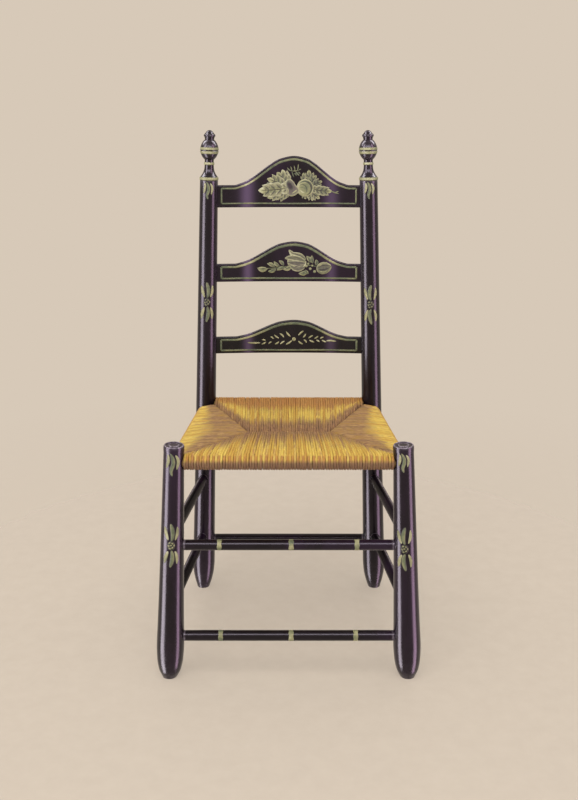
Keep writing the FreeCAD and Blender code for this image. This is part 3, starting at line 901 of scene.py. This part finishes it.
def drooping_strokes(art, x, top, scale):
    """A long green stroke between two yellow ones."""
    spine = ((-5.4, -0.5), (-0.4, 9), (0.8, 20), (-3, 33), (-0.8, 43))
    draw_marks(art, x, top, scale, -scale, (
        (((-9.8, 2), (-8.4, 10), (-9.8, 19), (-12.4, 29)), 6, 0.8, 0, -0.3, 0.55, 0),
        (((4.6, 3), (8.8, 10), (10.2, 18), (7.4, 31)), 5.8, 0.78, 0, -0.2, 0.55, 0),
        (spine, 9, 0.04, 1, 0, 0.45, 0), (spine, 6.4, 0.48, 2, -0.1, 0.5, 0.12),
    ))


def double_motif(art, x, middle, scale, bend):
    """Sprays above and below a cluster of dots. Bend is the way that they bow."""
    spine = ((0.6, 9.5), (2.6 * bend, 19), (2.2 * bend, 30), (-1.6 * bend, 44))
    for up in (scale, -scale):
        draw_marks(art, x, middle, scale, up, (
            (((-6, 11), (-9, 19), (-11.6, 27), (-13.2, 37)), 6.6, 0.78, 0, -0.16, 0.5, 0),
            (((7, 11), (10.4, 19), (11.8, 28), (11.2, 37.5)), 5.8, 0.8, 0, -0.1, 0.55, 0),
            (spine, 9.4, 0.04, 1, 0, 0.4, 0), (spine, 6.8, 0.5, 2, 0, 0.45, 0.1 * bend),
        ))
    art.blob((x, middle), (15 * scale, 19 * scale), 0, 0.05, 3, rings=4, sides=24)
    for u, v, turn in ((-3.4, 5.6, 0.5), (2, 4.6, -0.7), (5.4, 0.6, 1.5), (-0.8, 0.8, 0.2),
                       (-5, -0.8, -0.9), (2.2, -3.8, 0.6), (-2.6, -5.6, -0.4)):
        art.blob((x + u * scale, middle + v * scale), (4.4 * scale, 2.6 * scale), turn, 0.66, 4,
                 rim=0.1, rings=3, sides=14)


def painted_ring(art, post, low, high, tone, rows=8, cols=80):
    """A band of colour all round a turning."""
    s = np.linspace(post.shaft + low, post.shaft + high, rows)[:, None]
    angles = circle(cols)
    grid = np.stack(np.broadcast_arrays(angles * post.radius(s), s), -1)
    edge = np.abs(np.linspace(-1, 1, rows))[:, None]
    art.patch(grid, tone - 0.1 * edge + 0.1 * np.cos(angles * 2 + 0.6), 0, around=True)


# The drooping strokes' x and scale, and the double motif's x and height
POST_MARKS = {
    ("left", "front"): (0.6, 1, 0.4, 277.5), ("right", "front"): (-1.4, 0.84, -3.2, 270.5),
    ("left", "back"): (0.4, 0.84, 1, 653), ("right", "back"): (0.4, 0.84, -0.4, 647.5),
}
# (from, to, tone), above the shaft of a back post
FINIAL_RINGS = ((0.9, 6.9, 0.82), (32.8, 38, 0.84), (55.8, 61.2, 0.78), (64, 69.2, 0.72))
for (hand, kind), post in POSTS.items():
    art = Stencil(post.chart)
    droop_x, droop_scale, motif_x, motif_z = POST_MARKS[hand, kind]
    top = post.length - 10.5
    if kind == "back":
        top = post.shaft - 2.5
        for low, high, tone in FINIAL_RINGS:
            painted_ring(art, post, low, high, tone)
    drooping_strokes(art, droop_x, top, droop_scale)
    double_motif(art, motif_x, motif_z, 0.98, -post.side)
    art.build(hand + "_" + kind + "_post_stencil")


def stretcher_rings(name, z, rows=6, cols=48):
    """Bands of colour round a front stretcher."""
    start = L_FRONT.on_axis(z)

    def chart(u, w, lift):
        r, angle = BAR_RADIUS + lift, u / BAR_RADIUS
        return np.stack([w, start[1] + r * np.sin(angle), start[2] + r * np.cos(angle)], -1)
    art = Stencil(chart)
    angles = circle(cols)
    for x, width in ((-129, 8.4), (4.6, 9), (127, 8.6)):
        w = np.linspace(x - width / 2, x + width / 2, rows)[:, None]
        ragged = 0.45 * np.sin(angles * 5 + x) * np.linspace(-1, 1, rows)[:, None]
        grid = np.stack(np.broadcast_arrays(angles * BAR_RADIUS, w + ragged), -1)
        art.patch(grid, 0.66 + 0.14 * np.cos(angles * 3 + x), 0, around=True)
    art.build(name + "_rings")


for level, z in FRONT_STRETCHERS.items():
    stretcher_rings("front_%s_stretcher" % level, z)


# ---- rush seat

random.seed(7)


class Section:
    """One quadrant of the seat: cords wrap its rail and run to the mitres and seam."""

    def __init__(self, name, start, end, corners, fan, count, margins, focus):
        self.name, self.start, self.end = name, start, end
        self.fan, self.count, self.margins = fan, count, margins
        self.run = unit(end - start)
        self.flat = unit(self.run * FLAT)
        self.inward = np.cross(UP, self.flat)

        def off(point):
            return np.array((point[0], point[1], 0)) - start
        if self.inward @ off(corners[1]) < 0:
            self.inward = -self.inward
        # along the rail, inwards from it, top and bottom of the line of mitres and seam
        self.line = np.array([(off(c) @ self.flat, off(c) @ self.inward, c[2], c[3])
                              for c in corners]).T
        self.focus = off(focus) @ self.flat
        self.length = (end - start) @ self.flat
        self.pitch = (self.length - margins[0] - margins[1]) / count

    def mitre_place(self, along):
        """Where a cord from here on the rail meets the mitre: fanned, but true at both ends."""
        edge = self.line[0][-1 if along > self.focus else 0]
        share = (along - self.focus) / (edge - self.focus)
        fanned = 1 - (1 - self.fan) * (1 - min(share, 1) ** 3)
        return self.focus + (edge - self.focus) * share * fanned

    def strand_path(self, along, inset=0, fine=3.4, coarse=8, bulge=0, turns=13):
        """A cord's middle from the seam under the seat, round the rail, to the seam on top:
        points, share of the way inwards, 1 below to 0 above, and distance to the mitre."""
        rail = lerp(self.start, self.end, along / self.length)
        high = STRAND_HIGH + inset
        roll = ROLL - high
        at = self.mitre_place(along)
        away, top_z, low_z = (np.interp(at, self.line[0], row) for row in self.line[1:])
        here, there = rail * FLAT, (self.start + self.flat * at + self.inward * away) * FLAT
        reach = np.linalg.norm(there - here)

        def run(z0, z1, crown, dive, step, below):
            """From the rail to the mitre: crowned, and dipping in the last 7 mm."""
            count = max(4, int(reach / step))
            share = np.arange(count + 1) / count
            rest = (1 - share) * reach
            points = lerp(here, there, share[:, None])
            points[:, 2] = (lerp(z0, z1, share) + crown * 4 * share * (1 - share)
                            + dive * np.maximum(0, 1 - rest / 7) ** 2)
            return np.column_stack([points, share, 0 * share + below, rest])

        shrink = min(1, reach / 110)
        share = np.arange(1, turns) / turns
        bend = rail - roll * wheel(pi * share, UP, self.inward)
        rows = np.concatenate([
            run(rail[2] - roll, low_z + high, -4 * shrink, 7, coarse, 1)[::-1],
            np.column_stack([bend, 0 * share, 1 - share, 0 * share + reach]),
            run(rail[2] + roll, top_z - high, (2.6 + bulge) * shrink, -8.5, fine, 0),
        ])
        return rows[:, :3], *rows[:, 3:].T

    def zones(self, inward, wrap, left, tick):
        """How brown and orange each part of a cord is: browner towards the seam, with painted shade
        along the mitres, on the undersides and down the front roll's lower face, and orange in places,
        such as where cords turn over a rail.
        """
        top = 1 - ramp_up(0.02, 0.2, wrap)
        # painted shade on the cords' undersides
        under = ramp_up(0.62, 0.8, wrap)
        # painted shade: browner along the mitres' creases
        crease = 0.55 * bell(left, 0, 15) + 0.5 * bell(left, 0, 4)
        band = np.zeros(len(inward))
        if self.name == "front":
            brown = ramp_up(0.12, 0.85, inward) ** 0.9
            orange = 0.22 + 0.35 * ramp_up(0.3, 0.9, inward) + 0.75 * tick * ramp_up(0.06, 0.16, wrap)
            # painted shade: a darker band down the front roll's lower face
            band = ramp_up(0.34, 0.42, wrap)
        elif self.name == "back":
            brown = 1.1 * ramp_up(0.58, 0.86, inward)
            orange = 1.2 * (1 - ramp_up(0.2, 0.52, inward)) + 0.06 + 0.6 * bell(left, 0, 60)
            # more painted shade near the back mitres
            crease += 0.6 * bell(left, 0, 34)
        else:
            brown = 0.96 * ramp_up(0.02, 0.46, inward)
            orange = 0.25 + 0.7 * ramp_up(0.1, 0.35, wrap)
        brown = np.maximum(brown * top, crease * top) + 0.7 * under
        return np.stack([brown, orange, np.maximum(band * 0.9, under * 0.5)], 1)

    def build(self, node, sides=10):
        theta = circle(sides) + pi / 2
        verts, faces, zone, strand, fibre = [], [], [], [], []
        for i in range(self.count):
            shade = random.random()
            fat = random.uniform(0.95, 1.06)
            phase = random.uniform(0, tau)
            bulge = random.uniform(-0.5, 0.7)
            tick = 1 if i % 2 else random.uniform(0, 0.35)
            along = self.margins[0] + self.pitch * (i + 0.5 + random.uniform(-0.07, 0.07))
            path, inward, wrap, left = self.strand_path(along, bulge=bulge)
            tangent = unit_rows(np.gradient(path, axis=0))
            lateral = unit_rows(self.run - (tangent @ self.run)[:, None] * tangent)
            normal = np.cross(tangent, lateral)
            if normal[len(path) // 4] @ UP > 0:
                normal = -normal
            dist = run_lengths(path)[:, None]
            spread = self.mitre_place(along + self.pitch / 2) - self.mitre_place(along - self.pitch / 2)
            width = lerp(self.pitch, spread, inward)[:, None] / 2 * 1.05 * fat
            # two plies wind round the cord, and it wavers a little from side to side
            ply = 1 + 0.085 * np.cos(2 * theta - tau * dist / 13 + phase)
            beside = width * np.cos(theta) * ply + 0.25 * np.sin(dist / 17 + phase)
            above = STRAND_HIGH * fat * np.sin(theta) * ply
            ring = (path[:, None] + lateral[:, None] * beside[..., None]
                    + normal[:, None] * above[..., None])
            faces += loft_faces(len(path), sides, start=sum(map(len, verts)), caps=True)
            verts.append(ring.reshape(-1, 3))
            zone.append(np.repeat(self.zones(inward, wrap, left, tick), sides, axis=0))
            strand.append(np.full(len(verts[-1]), shade))
            around = theta / tau + dist / 60
            fibre.append(np.stack(np.broadcast_arrays(dist * MM, around, shade * 9), -1).reshape(-1, 3))
        add_piece(self.name + "_rush_cords", verts, faces, RUSH, "rush", [node], 0,
                  zone=zone, strand=strand, fibre=fibre)

    def build_packing(self, node):
        """The stuffing and inner layer that close the gaps between the cords."""
        stations = np.linspace(self.margins[0] - 3, self.length - self.margins[1] + 3, 30)
        rows = np.array([self.strand_path(s, 1.5, 1e9, 1e9)[0] for s in stations])
        add_piece(self.name + "_seat_packing", rows, loft_faces(*rows.shape[:2], caps=True), PACKING,
                  "stuffing", [node], zone=[0 * row + (0.6, 0.4, 0) for row in rows],
                  strand=[0 * row[:, 0] + 0.4 for row in rows], fibre=rows * MM)


def mitre_start(post):
    """Where the mitre beside a post starts: x, y, top and bottom."""
    z, inset = RAIL_Z[post.kind], MITRE_IN[post.kind]
    x, y, _ = post.on_axis(z)
    z -= SIDE_RAIL_DROP / 2
    return (x - copysign(inset, x), y - copysign(inset, y), z + ROLL, z - ROLL)


LF, LB, RF, RB = map(mitre_start, POSTS.values())
LS, RS = ((x, SEAM_Y, SEAM_TOP, SEAM_TOP - SEAM_THICK) for x in (-SEAM_HALF, SEAM_HALF))
# Posts, height below the front and back rails, corners of the mitres and seam,
# fan, number of cords, bare ends of the rail and the x that the cords fan out from
for name, first, second, drop, corners, fan, count, margins, x in (
    ("front", L_FRONT, R_FRONT, 0, (LF, LS, RS, RF), 0.88, 80, (18.9, 18.9), 0),
    ("back", L_BACK, R_BACK, 0, (LB, LS, RS, RB), 0.9, 64, (21.6, 21.6), 0),
    ("left", L_FRONT, L_BACK, SIDE_RAIL_DROP, (LF, LS, LB), 0.9, 66, (18.6, 21.8), -SEAM_HALF),
    ("right", R_FRONT, R_BACK, SIDE_RAIL_DROP, (RF, RS, RB), 0.9, 66, (18.6, 21.8), SEAM_HALF),
):
    start, end = (post.on_axis(RAIL_Z[post.kind] - drop) for post in (first, second))
    section = Section(name, start, end, corners, fan, count, margins, (x, SEAM_Y))
    section.build(name + "_rush_section")
    section.build_packing(name + "_stuffing")
    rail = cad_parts[name + "_seat_rail"]
    rail.data.materials.clear()
    rail.data.materials.append(RAIL_WOOD)


# ---- stage, lights and camera, in metres

def stage_floor(radius=4, sides=64):
    """Paper under the chair that fades out, and that reflections see through."""
    n = Nodes("floor_paper")
    distance = n.add("VectorMath", {0: n.coords}, "Value", operation="LENGTH")
    path = add_node(n.tree, "LightPath").outputs
    unseen = n.math("MAXIMUM", path["Is Glossy Ray"], path["Is Transmission Ray"])
    fade = n.math("MAXIMUM", n.grey(distance, 0.5, 1, 0.6, 1.6), unseen)
    paper = n.shaded((214, 200, 184), n.grey(n.noise(26, 4, 0.6), 0.97, 1.03))
    diffuse = n.add("BsdfDiffuse", {"Color": paper})
    clear = n.add("BsdfTransparent", {})
    mesh = bpy.data.meshes.new("floor")
    verts = [(radius * cos(a), radius * sin(a), -0.0002) for a in circle(sides)]
    mesh.from_pydata(verts, [], [tuple(range(sides))])
    mesh.materials.append(n.finish(n.add("MixShader", {0: fade, 1: diffuse, 2: clear})))
    floor = add_object("floor", mesh)
    floor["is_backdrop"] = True


def shade_world():
    """The paper's colour to the camera and to reflections, a pale room to soft light."""
    world = bpy.data.worlds.new("pale_room")
    bpy.context.scene.world = world
    world.use_nodes = True
    tree = world.node_tree
    backdrop = tree.nodes["Background"]
    backdrop.inputs[0].default_value = srgb(215, 201, 184)
    room = add_node(tree, "Background", {0: srgb(236, 233, 229)})
    path = add_node(tree, "LightPath").outputs
    seen = path["Is Camera Ray"]
    for ray in ("Is Glossy Ray", "Is Transmission Ray"):
        seen = add_node(tree, "Math", {0: seen, 1: path[ray]}, operation="MAXIMUM").outputs[0]
    blend = add_node(tree, "MixShader", {0: seen, 1: room.outputs[0], 2: backdrop.outputs[0]})
    tree.links.new(blend.outputs[0], tree.nodes["World Output"].inputs[0])


def area_light(name, place, aim, size, power, colour, gloss_only):
    data = bpy.data.lights.new(name, "AREA")
    data.shape = "RECTANGLE"
    data.size, data.size_y = size
    data.energy = power
    data.color = colour
    lamp = add_object(name, data)
    lamp.location = place
    lamp.rotation_euler = (Vector(aim) - Vector(place)).to_track_quat("-Z", "Y").to_euler()
    lamp.visible_diffuse = not gloss_only
    lamp.visible_glossy = gloss_only
    lamp.visible_camera = False


stage_floor()
shade_world()
area_light("overhead", (-0.3, -1.3, 2.6), (0, 0, 0.4), (2.2, 1.4), 26, (1, 0.98, 0.95), False)
# The others are seen by reflections only. Tall panels far out to the sides draw
# the long streaks on the round posts, and a wide one above the camera the lines
# on the stretchers
area_light("left_panel", (-2.2, -1.08, 0.1), (-0.1, 0, 0.1), (1.25, 6.4), 340, (1, 0.93, 0.97), True)
area_light("right_panel", (2.2, -1.08, 0.1), (0.1, 0, 0.1), (1.1, 6.4), 180, (1, 0.67, 0.9), True)
area_light("front_panel", (0, -1.95, 2.25), (0, -0.1, 0.15), (3.2, 0.7), 70, (1, 0.96, 1), True)
# Two more, high beside the finials, draw the crescents on the balls
for hand, side in (("left", -1), ("right", 1)):
    ball = Vector((0.22 * side, 0.2, 0.97))
    place = ball + 2.5 * Vector((0.614 * side, 0.199, 0.764))
    area_light(hand + "_glint", place, ball, (0.9, 2), 95, (1, 0.97, 0.98), True)

camera_data = bpy.data.cameras.new("camera")
camera_data.lens = 45.53
camera_data.shift_y = -0.14
camera = add_object("camera", camera_data)
camera.location = (0.0005, -1.9421, 1.12126)
camera.rotation_euler = (radians(90 - 11.714), 0, 0)
bpy.context.scene.camera = camera
bpy.context.scene.view_settings.view_transform = "Standard"

low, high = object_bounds()
